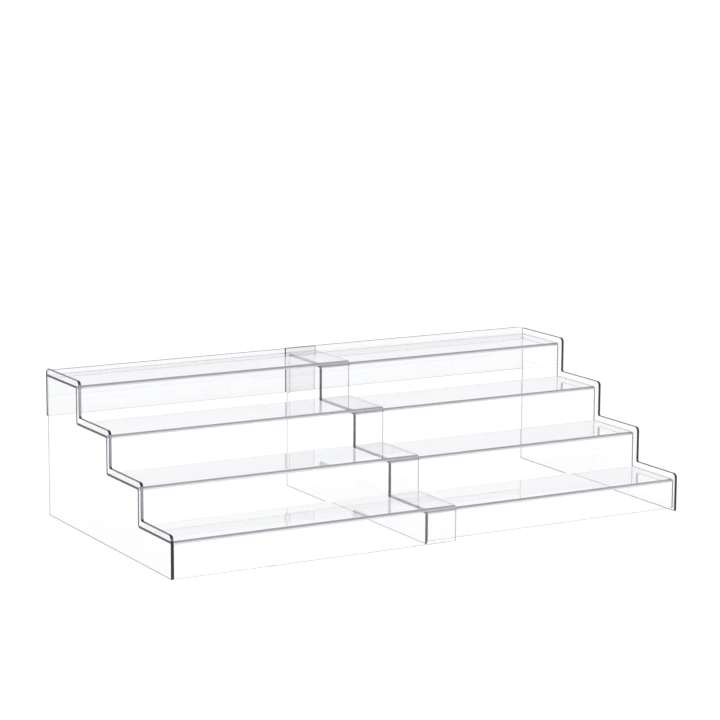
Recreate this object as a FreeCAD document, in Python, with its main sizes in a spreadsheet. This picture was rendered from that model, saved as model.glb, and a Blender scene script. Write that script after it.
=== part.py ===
import FreeCAD, Part
import os

import Sketcher

# Expanding four-tier shelf riser in clear acrylic.
#
# Two open-backed stepped units telescope along X. Each unit is a heat-bent stepped sheet glued
# between flat stepped panels, with a flat rail along the back of its top tread. The outer unit's
# sheet slides over the inner unit's sheet. Its rail slides in a slot: the inner tread's back edge
# is in front of it, a ledge cut in the support panel is below it and the inner rail is behind it.
#
# Frame: X along the treads, left to right; Y from the front to the back; Z up. The origin is the
# middle of the footprint on the floor, with the units drawn out to their working length.

TIERS = 4

SIZES = {
    "depth": 300.0,          # front of the bottom tier to the back of the outer rail
    "run": 74.0,             # front-to-back pitch of the treads
    "rise": 37.7,            # height from one tread to the next
    "tread_height": 37.1,    # floor to the top of the outer unit's bottom tread
    "sheet": 2.5,            # thickness of the bent sheets, the rails and the support panel
    "panel": 3.0,            # thickness of the end panels
    "bend": 0.6,             # inside radius of the bends in the sheets
    "lip": 6.3,              # how far each end panel stands above its own unit's treads
    "proud": 6.9,            # how far it stands in front of that unit's upper risers
    "nose_round": 4.6,       # radius on the outward corners of the end panels
    "notch_round": 1.8,      # radius in the inward corners of the end panels
    "clearance": 0.4,        # sliding gap between the two units
    "apron_gap": 3.0,        # floor to the bottom edge of the inner unit's front apron
    "rail_above": 4.4,       # how far the back rails stand above the outer unit's top tread
    "rail_height": 48.5,     # height of the back rails
    "rail_end": 2.5,         # how far the inner rail runs on past the support panel
    "rail_round": 7.0,       # radius on the top corner of the inner rail by the end panel
    "outer_span": 318.5,     # length of the outer unit
    "inner_span": 309.3,     # length of the inner unit
    "overlap": 33.8,         # length by which the units overlap when drawn out
}

LEFT_FACE = "-(Sizes.outer_span + Sizes.inner_span - Sizes.overlap) / 2"
RIGHT_FACE = "(Sizes.outer_span + Sizes.inner_span - Sizes.overlap) / 2"
FRONT_FACE = "-(Sizes.depth + Sizes.clearance + Sizes.sheet) / 2"
TOP_TREAD = f"Sizes.tread_height + {TIERS - 1} * Sizes.rise"
RAIL_TOP = f"{TOP_TREAD} + Sizes.rail_above"
RAIL_FOOT = f"{RAIL_TOP} - Sizes.rail_height"
LEDGE = f"{RAIL_FOOT} - Sizes.clearance"
OUTER_REACH = "Sizes.depth - Sizes.sheet"
INNER_REACH = f"{OUTER_REACH} - Sizes.clearance"
LEDGE_REACH = "Sizes.depth + Sizes.clearance + Sizes.sheet"
NESTING = "(Sizes.sheet + Sizes.clearance)"


def make_sizes(doc):
    """Write the driving dimensions to the document's spreadsheet."""
    sheet = doc.addObject("Spreadsheet::Sheet", "Sizes")
    for row, (alias, value) in enumerate(SIZES.items(), start=1):
        sheet.set(f"A{row}", alias)
        sheet.set(f"B{row}", str(value))
        sheet.setAlias(f"B{row}", alias)
    doc.recompute()


def make_body(doc, label):
    body = doc.addObject("PartDesign::Body", label)
    body.Label = label
    return body


def sketch_on(body, role):
    """Start a sketch on one of the body's own origin planes."""
    plane = next(item for item in body.Origin.OriginFeatures if item.Role == role)
    sketch = body.newObject("Sketcher::SketchObject", "Outline")
    sketch.AttachmentSupport = (plane, "")
    sketch.MapMode = "FlatFace"
    return sketch


def draw_zigzag(sketch, uprights, levels):
    """Draw a closed outline of vertical and horizontal lines in turn.

    Upright k runs from level k - 1 to level k, and level k runs on to upright k + 1. Corner
    2k is the foot of upright k and corner 2k + 1 is its other end, counted along the outline.
    """
    count = len(uprights)
    corners = []
    for k in range(count):
        corners.append(FreeCAD.Vector(10 * k + 5, 10 * (k - 1), 0))
        corners.append(FreeCAD.Vector(10 * k + 5, 10 * k, 0))
    for k, corner in enumerate(corners):
        following = corners[(k + 1) % len(corners)]
        sketch.addGeometry(Part.LineSegment(corner, following), False)
    for k in range(len(corners)):
        direction = "Horizontal" if k % 2 else "Vertical"
        sketch.addConstraint(Sketcher.Constraint("Coincident", k, 2, (k + 1) % len(corners), 1))
        sketch.addConstraint(Sketcher.Constraint(direction, k))
    for k in range(count):
        place_start(sketch, 2 * k, "DistanceX", uprights[k])
        place_start(sketch, 2 * k + 1, "DistanceY", levels[k])


def place_start(sketch, line, kind, formula):
    """Hold the start of a line at a distance from the sketch's origin."""
    index = sketch.addConstraint(Sketcher.Constraint(kind, -1, 1, line, 1, 5.0))
    sketch.setExpression(f"Constraints[{index}]", formula)


def pad(body, sketch, length):
    feature = body.newObject("PartDesign::Pad", "Pad")
    feature.Profile = sketch
    feature.setExpression("Length", length)
    sketch.Visibility = False
    body.Document.recompute()
    return feature


def edge_through(shape, y, z):
    """Name the edge along X that passes through a point of the YZ plane."""
    for index, edge in enumerate(shape.Edges, start=1):
        start = edge.Vertexes[0].Point
        end = edge.Vertexes[-1].Point
        along_x = abs(end.x - start.x) > 1 and abs(end.y - start.y) + abs(end.z - start.z) < 1e-6
        if along_x and abs(start.y - y) < 1e-4 and abs(start.z - z) < 1e-4:
            return f"Edge{index}"
    raise RuntimeError(f"no edge along X at y {y}, z {z}")


def fillet(body, base, edges, radius, name):
    feature = body.newObject("PartDesign::Fillet", name)
    feature.Base = (base, edges)
    feature.setExpression("Radius", radius)
    body.Document.recompute()
    return feature


def round_corners(body, base, sketch, corners, nose_radius, root_radius):
    """Fillet the chosen corners of a padded outline: noses turn out, roots turn in."""
    points = [line.StartPoint for line in sketch.Geometry]
    noses = []
    roots = []
    for k in corners:
        before = points[k] - points[k - 1]
        after = points[(k + 1) % len(points)] - points[k]
        turns_out = before.cross(after).z < 0
        (noses if turns_out else roots).append((points[k].x, points[k].y))
    nose_edges = [edge_through(base.Shape, *point) for point in noses]
    feature = fillet(body, base, nose_edges, nose_radius, "Noses")
    root_edges = [edge_through(feature.Shape, *point) for point in roots]
    return fillet(body, feature, root_edges, root_radius, "Roots")


def place(body, x, y=FRONT_FACE):
    body.setExpression(".Placement.Base.x", x)
    body.setExpression(".Placement.Base.y", y)


def make_stepped_sheet(doc, label, inset, foot, reach, length, x):
    """Bend one sheet into a front apron, the risers and the treads.

    inset is how far the sheet lies inside the outer unit's surface.
    """
    body = make_body(doc, label)
    sketch = sketch_on(body, "YZ_Plane")
    tiers = range(TIERS)
    fronts = [f"{k} * Sizes.run + {inset}" for k in tiers]
    tops = [f"Sizes.tread_height + {k} * Sizes.rise - {inset}" for k in tiers]
    inside_fronts = [f"{front} + Sizes.sheet" for front in reversed(fronts)]
    undersides = [f"{top} - Sizes.sheet" for top in reversed(tops)]
    draw_zigzag(sketch, fronts + [reach] + inside_fronts, tops + undersides + [foot])
    base = pad(body, sketch, length)
    last = 2 * (2 * TIERS + 1) - 1
    bends = list(range(1, 2 * TIERS)) + list(range(2 * TIERS + 2, last))
    round_corners(body, base, sketch, bends, "Sizes.bend + Sizes.sheet", "Sizes.bend")
    place(body, x)


def make_stepped_panel(doc, label, fronts, tops, back, radii, thickness, x):
    """Cut one flat panel whose front edge climbs in steps. back holds its back edge's uprights
    and the levels they run down to."""
    body = make_body(doc, label)
    sketch = sketch_on(body, "YZ_Plane")
    back_uprights, back_levels = back
    draw_zigzag(sketch, fronts + back_uprights, tops + back_levels)
    base = pad(body, sketch, thickness)
    round_corners(body, base, sketch, range(1, 2 * TIERS), *radii)
    place(body, x)


def make_end_panel(doc, label, inset, reach, x):
    """End panel: its edge stands proud of its unit's sheet as a lip, except at the bottom front.

    inset is how far the unit's sheet lies inside the outer unit's surface.
    """
    fronts = ["0"] + [f"{k} * Sizes.run + {inset} - Sizes.proud" for k in range(1, TIERS)]
    tops = [f"Sizes.tread_height + {k} * Sizes.rise - {inset} + Sizes.lip" for k in range(TIERS)]
    radii = ("Sizes.nose_round", "Sizes.notch_round")
    make_stepped_panel(doc, label, fronts, tops, ([reach], ["0"]), radii, "Sizes.panel", x)


def make_support_panel(doc, label, x):
    """Support panel: it fits against the underside of the inner sheet's free end.

    Its back edge steps out under the outer rail's path to carry the inner rail on a ledge.
    """
    inset = f"{NESTING} + Sizes.sheet"
    fronts = [f"{k} * Sizes.run + {inset}" for k in range(TIERS)]
    tops = [f"Sizes.tread_height + {k} * Sizes.rise - ({inset})" for k in range(TIERS)]
    radii = ("Sizes.bend", "Sizes.bend + Sizes.sheet")
    back = ([INNER_REACH, LEDGE_REACH], [LEDGE, "0"])
    make_stepped_panel(doc, label, fronts, tops, back, radii, "Sizes.sheet", x)


def make_rail(doc, label, length, foot, x, back):
    """Flat strip on edge. The pad runs from its back face to its front face."""
    body = make_body(doc, label)
    sketch = sketch_on(body, "XZ_Plane")
    draw_zigzag(sketch, ["0", length], [RAIL_TOP, foot])
    pad(body, sketch, "Sizes.sheet")
    place(body, x, back)
    return body


def round_right_end(rail):
    """Round the top corner at a rail's right end."""
    base = rail.Tip
    bounds = base.Shape.BoundBox
    edges = []
    for index, edge in enumerate(base.Shape.Edges, start=1):
        middle = edge.CenterOfMass
        if abs(middle.x - bounds.XMax) < 1e-6 and abs(middle.z - bounds.ZMax) < 1e-6:
            edges.append(f"Edge{index}")
    fillet(rail, base, edges, "Sizes.rail_round", "Corner")


def make_outer_unit(doc):
    sheet_length = "Sizes.outer_span - Sizes.panel"
    make_end_panel(doc, "left_end_panel", "0", OUTER_REACH, LEFT_FACE)
    make_stepped_sheet(doc, "outer_stepped_sheet", "0", "0", OUTER_REACH, sheet_length,
                       f"{LEFT_FACE} + Sizes.panel")
    make_rail(doc, "outer_back_rail", "Sizes.outer_span", RAIL_FOOT, LEFT_FACE,
              f"{FRONT_FACE} + Sizes.depth")


def make_inner_unit(doc):
    free_face = f"{RIGHT_FACE} - Sizes.inner_span"
    sheet_length = "Sizes.inner_span - Sizes.panel"
    make_end_panel(doc, "right_end_panel", NESTING, "Sizes.depth + Sizes.clearance",
                   f"{RIGHT_FACE} - Sizes.panel")
    make_stepped_sheet(doc, "inner_stepped_sheet", NESTING, "Sizes.apron_gap", INNER_REACH,
                       sheet_length, free_face)
    make_support_panel(doc, "inner_support_panel", free_face)
    rail = make_rail(doc, "inner_back_rail", "Sizes.inner_span + Sizes.rail_end", LEDGE,
                     f"{free_face} - Sizes.rail_end", f"{FRONT_FACE} + {LEDGE_REACH}")
    round_right_end(rail)


def check_and_export(doc):
    """Stop on any feature in error, then write each sub-part's STEP file."""
    for item in doc.Objects:
        if "Invalid" in item.State or "Error" in item.State:
            raise RuntimeError(f"{item.Name} is {item.State}")
    os.makedirs("parts", exist_ok=True)
    for body in doc.findObjects("PartDesign::Body"):
        if body.Shape.isNull() or not body.Shape.isValid():
            raise RuntimeError(f"{body.Label} has no valid shape")
        body.Shape.exportStep(f"parts/{body.Label}.step")


document = FreeCAD.newDocument("TieredShelfRiser")
make_sizes(document)
make_outer_unit(document)
make_inner_unit(document)
document.recompute()
check_and_export(document)
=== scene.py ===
import math

import bmesh
import bpy
from mathutils import Euler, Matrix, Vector


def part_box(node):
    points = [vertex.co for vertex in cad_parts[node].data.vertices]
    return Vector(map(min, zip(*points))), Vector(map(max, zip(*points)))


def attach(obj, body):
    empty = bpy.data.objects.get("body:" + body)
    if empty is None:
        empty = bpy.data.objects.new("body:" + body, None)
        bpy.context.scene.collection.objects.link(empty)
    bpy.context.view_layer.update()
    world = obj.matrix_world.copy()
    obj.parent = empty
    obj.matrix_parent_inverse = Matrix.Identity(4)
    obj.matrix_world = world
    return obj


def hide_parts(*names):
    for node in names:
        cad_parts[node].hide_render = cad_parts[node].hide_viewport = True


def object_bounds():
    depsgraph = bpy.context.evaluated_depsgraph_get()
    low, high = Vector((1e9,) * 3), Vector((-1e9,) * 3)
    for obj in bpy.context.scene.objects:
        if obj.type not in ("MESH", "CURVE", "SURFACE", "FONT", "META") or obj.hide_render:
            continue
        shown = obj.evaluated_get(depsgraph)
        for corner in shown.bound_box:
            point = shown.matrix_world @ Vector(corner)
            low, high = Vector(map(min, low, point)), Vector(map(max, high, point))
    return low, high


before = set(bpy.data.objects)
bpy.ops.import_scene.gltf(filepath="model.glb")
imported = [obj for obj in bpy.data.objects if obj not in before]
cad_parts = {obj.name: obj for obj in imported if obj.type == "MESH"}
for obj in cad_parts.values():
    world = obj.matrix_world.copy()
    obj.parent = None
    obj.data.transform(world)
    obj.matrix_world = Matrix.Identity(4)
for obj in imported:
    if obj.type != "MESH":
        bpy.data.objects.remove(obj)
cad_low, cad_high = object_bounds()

# Expanding four-tier shelf riser in clear acrylic, on a white light table.
# Metres, in the row frame: X along the treads, -Y out of the low front, Z up.

MM = 0.001

# Steps. The other sizes are read from the CAD nodes, apart from the rounds below.
TIERS = 4
RUN = 74.0 * MM
FIRST_TREAD = 37.1 * MM
PROUD = 6.9 * MM          # end panels' lip in front of the upper risers

# Rounds, in the CAD's sizes.
BEND = 0.6 * MM
NOSE_ROUND = 4.6 * MM
NOTCH_ROUND = 1.8 * MM
RAIL_ROUND = 7.0 * MM

ARC_STEPS = 10            # segments in a rounded corner
SHEET_CHAMFER = 0.22 * MM   # broken edge along every cut in the sheets and rails
PANEL_CHAMFER = 0.42 * MM   # and round the end panels
GLUE = 0.02 * MM          # film of cement between glued faces, or the depth a glued end bites in

CREASE = math.radians(50)   # an edge that turns more than this is a cut edge, to be chamfered
SMOOTH = math.radians(30)   # an edge that turns less than this is shaded smooth

ACRYLIC_IOR = 1.49
BUMP_HEIGHT = 0.1 * MM


# ---------------------------------------------------------------- outlines

def corner_arc(before, corner, after, radius):
    """Points of the arc that rounds a corner between two straight runs."""
    into = (before - corner).normalized()
    out = (after - corner).normalized()
    half = into.angle(out) / 2
    start = corner + into * (radius / math.tan(half))
    end = corner + out * (radius / math.tan(half))
    centre = corner + (into + out).normalized() * (radius / math.sin(half))
    first = start - centre
    last = end - centre
    turn = math.atan2(first.x * last.y - first.y * last.x, first.dot(last))
    points = []
    for step in range(ARC_STEPS + 1):
        angle = turn * step / ARC_STEPS
        rotated = Vector((
            first.x * math.cos(angle) - first.y * math.sin(angle),
            first.x * math.sin(angle) + first.y * math.cos(angle),
        ))
        points.append(centre + rotated)
    return points


def rounded_outline(corners):
    """Closed outline from (across, up, radius) corners; radius 0 leaves a corner sharp."""
    points = [Vector(corner[:2]) for corner in corners]
    outline = []
    for k, point in enumerate(points):
        radius = corners[k][2]
        if radius:
            outline += corner_arc(points[k - 1], point, points[(k + 1) % len(points)], radius)
        else:
            outline.append(point)
    return outline


def staircase(front, top, rise, nose, notch, shift=0.0):
    """Corners of the climbing steps, from the first nose to the last.

    shift moves every riser but the first along Y, as the end panels' lips need.
    """
    corners = []
    for k in range(TIERS):
        across = front + k * RUN + (shift if k else 0.0)
        up = top + k * rise
        if k:
            corners.append((across, up - rise, notch))
        corners.append((across, up, nose))
    return corners


def end_panel_outline(box, rise, shift):
    """Outline of an end panel, whose upper risers stand proud of its unit's sheet."""
    low, high = box
    top = high.z - (TIERS - 1) * rise
    steps = staircase(low.y, top, rise, NOSE_ROUND, NOTCH_ROUND, shift)
    back = [(high.y, high.z, 0.0), (high.y, low.z, 0.0)]
    return rounded_outline([(low.y, low.z, 0.0)] + steps + back)


def support_outline(box, rise, thickness, tread_back, ledge):
    """Outline of the support panel: under the inner sheet, and out to a ledge at the back."""
    low, high = box
    top = high.z - (TIERS - 1) * rise - GLUE
    steps = staircase(low.y + GLUE, top, rise, BEND, BEND + thickness)
    back = [
        (tread_back, high.z - GLUE, 0.0), (tread_back, ledge - GLUE, 0.0),
        (high.y, ledge - GLUE, 0.0), (high.y, low.z, 0.0),
    ]
    return rounded_outline([(low.y + GLUE, low.z, 0.0)] + steps + back)


def sheet_outline(box, rise, thickness):
    """Outline of a bent sheet: up over the steps, then back down along its underside."""
    low, high = box
    top = high.z - (TIERS - 1) * rise
    outside = BEND + thickness
    over = staircase(low.y, top, rise, outside, BEND)
    under = staircase(low.y + thickness, top - thickness, rise, BEND, outside)
    back = [(high.y, high.z, 0.0), (high.y, high.z - thickness, 0.0)]
    front_foot = [(low.y, low.z, 0.0)]
    inner_foot = [(low.y + thickness, low.z, 0.0)]
    return rounded_outline(front_foot + over + back + under[::-1] + inner_foot)


def rail_outline(box, right_round):
    """Outline of a back rail, seen along Y."""
    low, high = box
    return rounded_outline([
        (low.x, low.z, 0.0), (low.x, high.z, 0.0), (high.x, high.z, right_round), (high.x, low.z, 0.0),
    ])


# ---------------------------------------------------------------- materials

def node(tree, kind, **inputs):
    """Add a node and set its inputs by name, with spaces written as underscores."""
    made = tree.nodes.new(kind)
    for name, value in inputs.items():
        made.inputs[name.replace("_", " ")].default_value = value
    return made


def noise(tree, scale, detail=2.0, stretch=(1.0, 1.0, 1.0)):
    """Noise in object coordinates, stretched along an axis by a small scale there."""
    place = tree.nodes.new("ShaderNodeTexCoord")
    mapping = node(tree, "ShaderNodeMapping", Scale=stretch)
    texture = node(tree, "ShaderNodeTexNoise", Scale=scale, Detail=detail)
    tree.links.new(place.outputs["Object"], mapping.inputs["Vector"])
    tree.links.new(mapping.outputs["Vector"], texture.inputs["Vector"])
    return texture.outputs["Fac"]


def spread(tree, factor, low, high):
    """Map a noise's middle range on to low..high."""
    ranged = node(tree, "ShaderNodeMapRange", From_Min=0.3, From_Max=0.7, To_Min=low, To_Max=high)
    tree.links.new(factor, ranged.inputs["Value"])
    return ranged.outputs["Result"]


def blend_colours(tree, factor, first, second):
    mix = tree.nodes.new("ShaderNodeMix")
    mix.data_type = "RGBA"
    mix.inputs["A"].default_value = (*first, 1.0)
    mix.inputs["B"].default_value = (*second, 1.0)
    tree.links.new(factor, mix.inputs["Factor"])
    return mix.outputs["Result"]


def acrylic(name, light, dark, rough_low, rough_high, grain, wave, clear=1.0, shine=0.5,
            stretch=(1.0, 1.0, 1.0)):
    """Acrylic whose tint, polish and surface waver slightly from place to place.

    clear is the share of light that passes straight through rather than being scattered.
    shine is 0.5 for the full reflection of acrylic in air, and 0 for none.
    """
    material = bpy.data.materials.new(name)
    material.use_nodes = True
    tree = material.node_tree
    shader = tree.nodes["Principled BSDF"]
    shader.inputs["Transmission Weight"].default_value = clear
    shader.inputs["IOR"].default_value = ACRYLIC_IOR
    shader.inputs["Specular IOR Level"].default_value = shine
    tint = noise(tree, grain, stretch=stretch)
    tree.links.new(blend_colours(tree, tint, light, dark), shader.inputs["Base Color"])
    polish = noise(tree, grain * 3, stretch=stretch)
    tree.links.new(spread(tree, polish, rough_low, rough_high), shader.inputs["Roughness"])
    bump = node(tree, "ShaderNodeBump", Strength=wave, Distance=BUMP_HEIGHT)
    tree.links.new(noise(tree, grain * 2, stretch=stretch), bump.inputs["Height"])
    tree.links.new(bump.outputs["Normal"], shader.inputs["Normal"])
    return material


def make_materials():
    """One material for each kind of surface, in the order of the names below."""
    return [
        # Cast, polished faces of the bent sheets.
        acrylic("acrylic_sheet_face", (0.985, 0.987, 0.989), (0.976, 0.978, 0.981), 0.0, 0.012, 9.0, 0.01),
        # The end panels are thicker and a little greyer to look through.
        acrylic("acrylic_panel_face", (0.952, 0.954, 0.957), (0.942, 0.944, 0.948), 0.0, 0.012, 9.0, 0.01),
        # The rails are the greyest pieces.
        acrylic("acrylic_rail_face", (0.900, 0.903, 0.907), (0.888, 0.891, 0.896), 0.0, 0.012, 9.0, 0.01),
        # Cut and polished edges: the sheet's own tint seen end on, darkened to near black as painted shade
        # for the dark edge lines.
        acrylic("acrylic_cut_edge_tint_and_painted_shade", (0.036, 0.033, 0.095), (0.024, 0.022, 0.070), 0.05, 0.16, 60.0, 0.15,
                clear=0.8),
        # Glued ends look like a dark seam, since no light comes back out of the joint.
        acrylic("acrylic_glued_end", (0.018, 0.018, 0.044), (0.011, 0.011, 0.028), 0.3, 0.5, 60.0, 0.10,
                clear=0.0, shine=0.0),
        # Front edges of the left lip, which are milled and not flame polished.
        acrylic("acrylic_milled_edge", (0.62, 0.61, 0.70), (0.55, 0.54, 0.63), 0.12, 0.25, 60.0, 0.2,
                clear=0.45),
        # Heat-formed noses, stretched; their grey, less clear tint is painted shade for the dark lines
        # along the bends.
        acrylic("acrylic_bend_painted_shade", (0.71, 0.70, 0.76), (0.65, 0.64, 0.70), 0.01, 0.05, 30.0, 0.05,
                clear=0.50, stretch=(0.1, 1.0, 1.0)),
    ]


SHEET_FACE, PANEL_FACE, RAIL_FACE, CUT, GLUED, MILLED, BENT_PAINTED_SHADE = range(7)


# ---------------------------------------------------------------- pieces

def prism(outline, axis, start, end):
    """Extrude a closed outline along X (outline in Y, Z) or along Y (outline in X, Z)."""
    def point(across, up, along):
        return (along, across, up) if axis == "X" else (across, along, up)

    mesh = bmesh.new()
    near = [mesh.verts.new(point(p.x, p.y, start)) for p in outline]
    far = [mesh.verts.new(point(p.x, p.y, end)) for p in outline]
    mesh.faces.new(near)
    mesh.faces.new(list(reversed(far)))
    for k in range(len(outline)):
        following = (k + 1) % len(outline)
        mesh.faces.new((near[k], far[k], far[following], near[following]))
    bmesh.ops.recalc_face_normals(mesh, faces=mesh.faces)
    return mesh


def break_edges(mesh, chamfer):
    """Chamfer every sharp edge."""
    sharp = [edge for edge in mesh.edges if edge.calc_face_angle() > CREASE]
    bmesh.ops.bevel(mesh, geom=sharp, offset=chamfer, segments=1, affect="EDGES", clamp_overlap=True)


def finish_piece(name, mesh, body, which_material, chamfer=SHEET_CHAMFER):
    """Turn a bmesh into a piece that rides on its body in place of its CAD node."""
    break_edges(mesh, chamfer)
    for face in mesh.faces:
        face.smooth = True
        face.material_index = which_material(face)
    for edge in mesh.edges:
        edge.smooth = edge.calc_face_angle() < SMOOTH
    data = bpy.data.meshes.new(name + "_clear")
    mesh.to_mesh(data)
    mesh.free()
    for material in MATERIALS:
        data.materials.append(material)
    piece = bpy.data.objects.new(name + "_clear", data)
    bpy.context.scene.collection.objects.link(piece)
    normals = piece.modifiers.new("flat_faces", "WEIGHTED_NORMAL")
    normals.keep_sharp = True
    normals.weight = 100
    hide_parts(name)
    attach(piece, body)
    return piece


def panel_material(face):
    """An end panel is clear through its thickness and dark along its outline, where the cut edges carry
    painted shade.
    """
    return PANEL_FACE if abs(face.normal.x) > 0.9 else CUT


def left_panel_material(face):
    """The left lip's front edges are milled above the first tread."""
    upper_front = face.normal.y < -0.99 and face.calc_center_median().z > FIRST_TREAD
    return MILLED if upper_front else panel_material(face)


def support_material(face):
    """The support panel is clear through its thickness, as a sheet is."""
    # Cut edges carry the cut-edge material's painted shade.
    return SHEET_FACE if abs(face.normal.x) > 0.9 else CUT


def rail_material(face):
    """A rail's faces and foot are clear. Its left end is as dark as a seam, and the rest is cut."""
    if abs(face.normal.y) > 0.9 or face.normal.z < -0.5:
        return RAIL_FACE
    # Cut faces carry the cut-edge material's painted shade.
    return GLUED if face.normal.x < -0.5 else CUT


def sheet_material(box, left_end, right_end):
    """A sheet's back is cut. Its noses are the slanting faces just behind a riser's front."""
    low, high = box

    def choose(face):
        place = face.calc_center_median()
        if abs(face.normal.x) > 0.3:
            return left_end if face.normal.x < 0 else right_end
        # The cut back edge carries the cut-edge material's painted shade.
        if place.y > high.y - SHEET_CHAMFER:
            return CUT
        slants = face.normal.y < -0.02 and face.normal.z > 0.02
        behind_front = (place.y - low.y) % RUN < RUN / 2
        # The noses take the bend material, whose grey tint is painted shade.
        return BENT_PAINTED_SHADE if slants and behind_front else SHEET_FACE

    return choose


def make_end_panel(name, body, rise, sheet, which_material):
    """The lip in front of the upper risers is PROUD of the unit's own sheet."""
    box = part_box(name)
    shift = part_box(sheet)[0].y - box[0].y - PROUD
    mesh = prism(end_panel_outline(box, rise, shift), "X", box[0].x, box[1].x)
    finish_piece(name, mesh, body, which_material, PANEL_CHAMFER)


def make_support_panel(rise, thickness):
    name = "inner_support_panel"
    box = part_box(name)
    tread_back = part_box("inner_stepped_sheet")[1].y
    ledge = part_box("inner_back_rail")[0].z
    mesh = prism(support_outline(box, rise, thickness, tread_back, ledge), "X", box[0].x, box[1].x)
    finish_piece(name, mesh, "inner_unit", support_material)


def make_sheet(name, body, rise, thickness, left_end, right_end):
    """One end of a sheet is CUT and free. The other is GLUED and bites into its panel."""
    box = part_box(name)
    start = box[0].x - (GLUE if left_end == GLUED else 0.0)
    end = box[1].x + (GLUE if right_end == GLUED else 0.0)
    mesh = prism(sheet_outline(box, rise, thickness), "X", start, end)
    finish_piece(name, mesh, body, sheet_material(box, left_end, right_end))


def make_rail(name, body, right_round):
    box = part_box(name)
    mesh = prism(rail_outline(box, right_round), "Y", box[0].y + GLUE, box[1].y)
    finish_piece(name, mesh, body, rail_material)


def make_riser():
    """All seven pieces. A rail is as thick as the sheets, and every step rises by the same amount."""
    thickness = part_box("outer_back_rail")[1].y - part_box("outer_back_rail")[0].y
    rise = (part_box("outer_stepped_sheet")[1].z - FIRST_TREAD) / (TIERS - 1)
    make_end_panel("left_end_panel", "outer_unit", rise, "outer_stepped_sheet", left_panel_material)
    make_end_panel("right_end_panel", "inner_unit", rise, "inner_stepped_sheet", panel_material)
    make_support_panel(rise, thickness)
    make_sheet("outer_stepped_sheet", "outer_unit", rise, thickness, GLUED, CUT)
    make_sheet("inner_stepped_sheet", "inner_unit", rise, thickness, CUT, GLUED)
    make_rail("outer_back_rail", "outer_unit", 0.0)
    make_rail("inner_back_rail", "inner_unit", RAIL_ROUND)


# ---------------------------------------------------------------- studio

FLOOR_RADIUS = 12.0
FLOOR_DROP = 0.1 * MM     # keeps the floor clear of the riser's feet
LIGHT_AIM = (0.0, 0.0, 0.05)
MAX_BOUNCES = 36
GLOSSY_BOUNCES = 12


def light_table():
    """Plain white floor that glows evenly, as a light table does."""
    material = bpy.data.materials.new("light_table")
    material.use_nodes = True
    tree = material.node_tree
    shader = tree.nodes["Principled BSDF"]
    shader.inputs["Roughness"].default_value = 0.9
    shader.inputs["Specular IOR Level"].default_value = 0.0
    white = blend_colours(tree, noise(tree, 3.0), (0.20, 0.20, 0.20), (0.18, 0.18, 0.18))
    tree.links.new(white, shader.inputs["Base Color"])
    glow = blend_colours(tree, noise(tree, 2.0), (1.0, 1.0, 1.0), (0.995, 0.995, 0.995))
    tree.links.new(glow, shader.inputs["Emission Color"])
    shader.inputs["Emission Strength"].default_value = 0.93

    data = bpy.data.meshes.new("floor")
    shape = bmesh.new()
    bmesh.ops.create_circle(shape, cap_ends=True, segments=96, radius=FLOOR_RADIUS)
    shape.to_mesh(data)
    shape.free()
    data.materials.append(material)
    floor = bpy.data.objects.new("floor", data)
    floor.location.z = cad_low[2] - FLOOR_DROP
    bpy.context.scene.collection.objects.link(floor)


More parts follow.
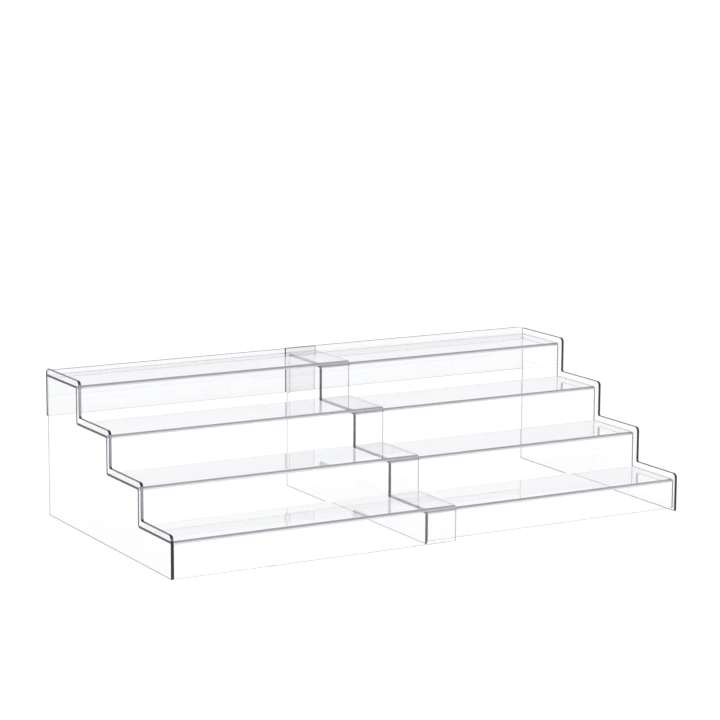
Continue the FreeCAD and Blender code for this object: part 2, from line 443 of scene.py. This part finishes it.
def white_room():
    """World that is white below the horizon, a shade greyer above it and grey overhead."""
    world = bpy.data.worlds.new("studio")
    bpy.context.scene.world = world
    world.use_nodes = True
    tree = world.node_tree
    place = tree.nodes.new("ShaderNodeTexCoord")
    parts = tree.nodes.new("ShaderNodeSeparateXYZ")
    ramp = tree.nodes.new("ShaderNodeValToRGB")
    stops = ramp.color_ramp.elements
    stops[0].position = 0.0
    stops[0].color = (1.0, 1.0, 1.0, 1.0)
    stops[1].position = 1.0
    stops[1].color = (0.35, 0.35, 0.37, 1.0)
    above_horizon = stops.new(0.03)
    above_horizon.color = (0.838, 0.841, 0.855, 1.0)
    sky = stops.new(0.45)
    sky.color = (0.815, 0.820, 0.835, 1.0)
    tree.links.new(place.outputs["Generated"], parts.inputs["Vector"])
    tree.links.new(parts.outputs["Z"], ramp.inputs["Fac"])
    background = tree.nodes["Background"]
    background.inputs["Strength"].default_value = 1.08
    tree.links.new(ramp.outputs["Color"], background.inputs["Color"])


def soft_box(name, place, size, power):
    """Rectangular light that faces the riser."""
    data = bpy.data.lights.new(name, "AREA")
    data.shape = "RECTANGLE"
    data.size, data.size_y = size
    data.energy = power
    light = bpy.data.objects.new(name, data)
    light.location = place
    light.rotation_euler = (Vector(LIGHT_AIM) - Vector(place)).to_track_quat("-Z", "Y").to_euler()
    bpy.context.scene.collection.objects.link(light)


CAMERA_AZIMUTH = 29.65    # degrees, as are the tilt and the roll
CAMERA_TILT = 10.18
CAMERA_ROLL = 0.33
CAMERA_FOCAL = 127.73     # millimetres on a 36 mm sensor
CAMERA_PLACE = (-1.3067, -2.2861, 0.6367)


def make_camera():
    data = bpy.data.cameras.new("camera")
    data.lens = CAMERA_FOCAL
    data.sensor_width = 36.0
    data.clip_start = 0.05
    data.clip_end = 60.0
    camera = bpy.data.objects.new("camera", data)
    camera.location = CAMERA_PLACE
    aim = Euler((math.radians(90 - CAMERA_TILT), 0.0, -math.radians(CAMERA_AZIMUTH)), "XYZ")
    roll = Euler((0.0, 0.0, math.radians(CAMERA_ROLL)), "XYZ")
    camera.rotation_euler = (aim.to_matrix() @ roll.to_matrix()).to_euler()
    bpy.context.scene.collection.objects.link(camera)
    bpy.context.scene.camera = camera


def set_light_paths():
    """Enough bounces to see through every layer of both units."""
    cycles = bpy.context.scene.cycles
    cycles.max_bounces = MAX_BOUNCES
    cycles.transmission_bounces = MAX_BOUNCES
    cycles.glossy_bounces = GLOSSY_BOUNCES
    bpy.context.scene.view_settings.view_transform = "Standard"


MATERIALS = make_materials()
make_riser()
light_table()
white_room()
soft_box("key_light", place=(-1.6, -1.8, 2.4), size=(1.6, 1.2), power=30.0)
soft_box("fill_light", place=(2.2, -0.6, 1.8), size=(1.2, 1.2), power=12.0)
make_camera()
set_light_paths()
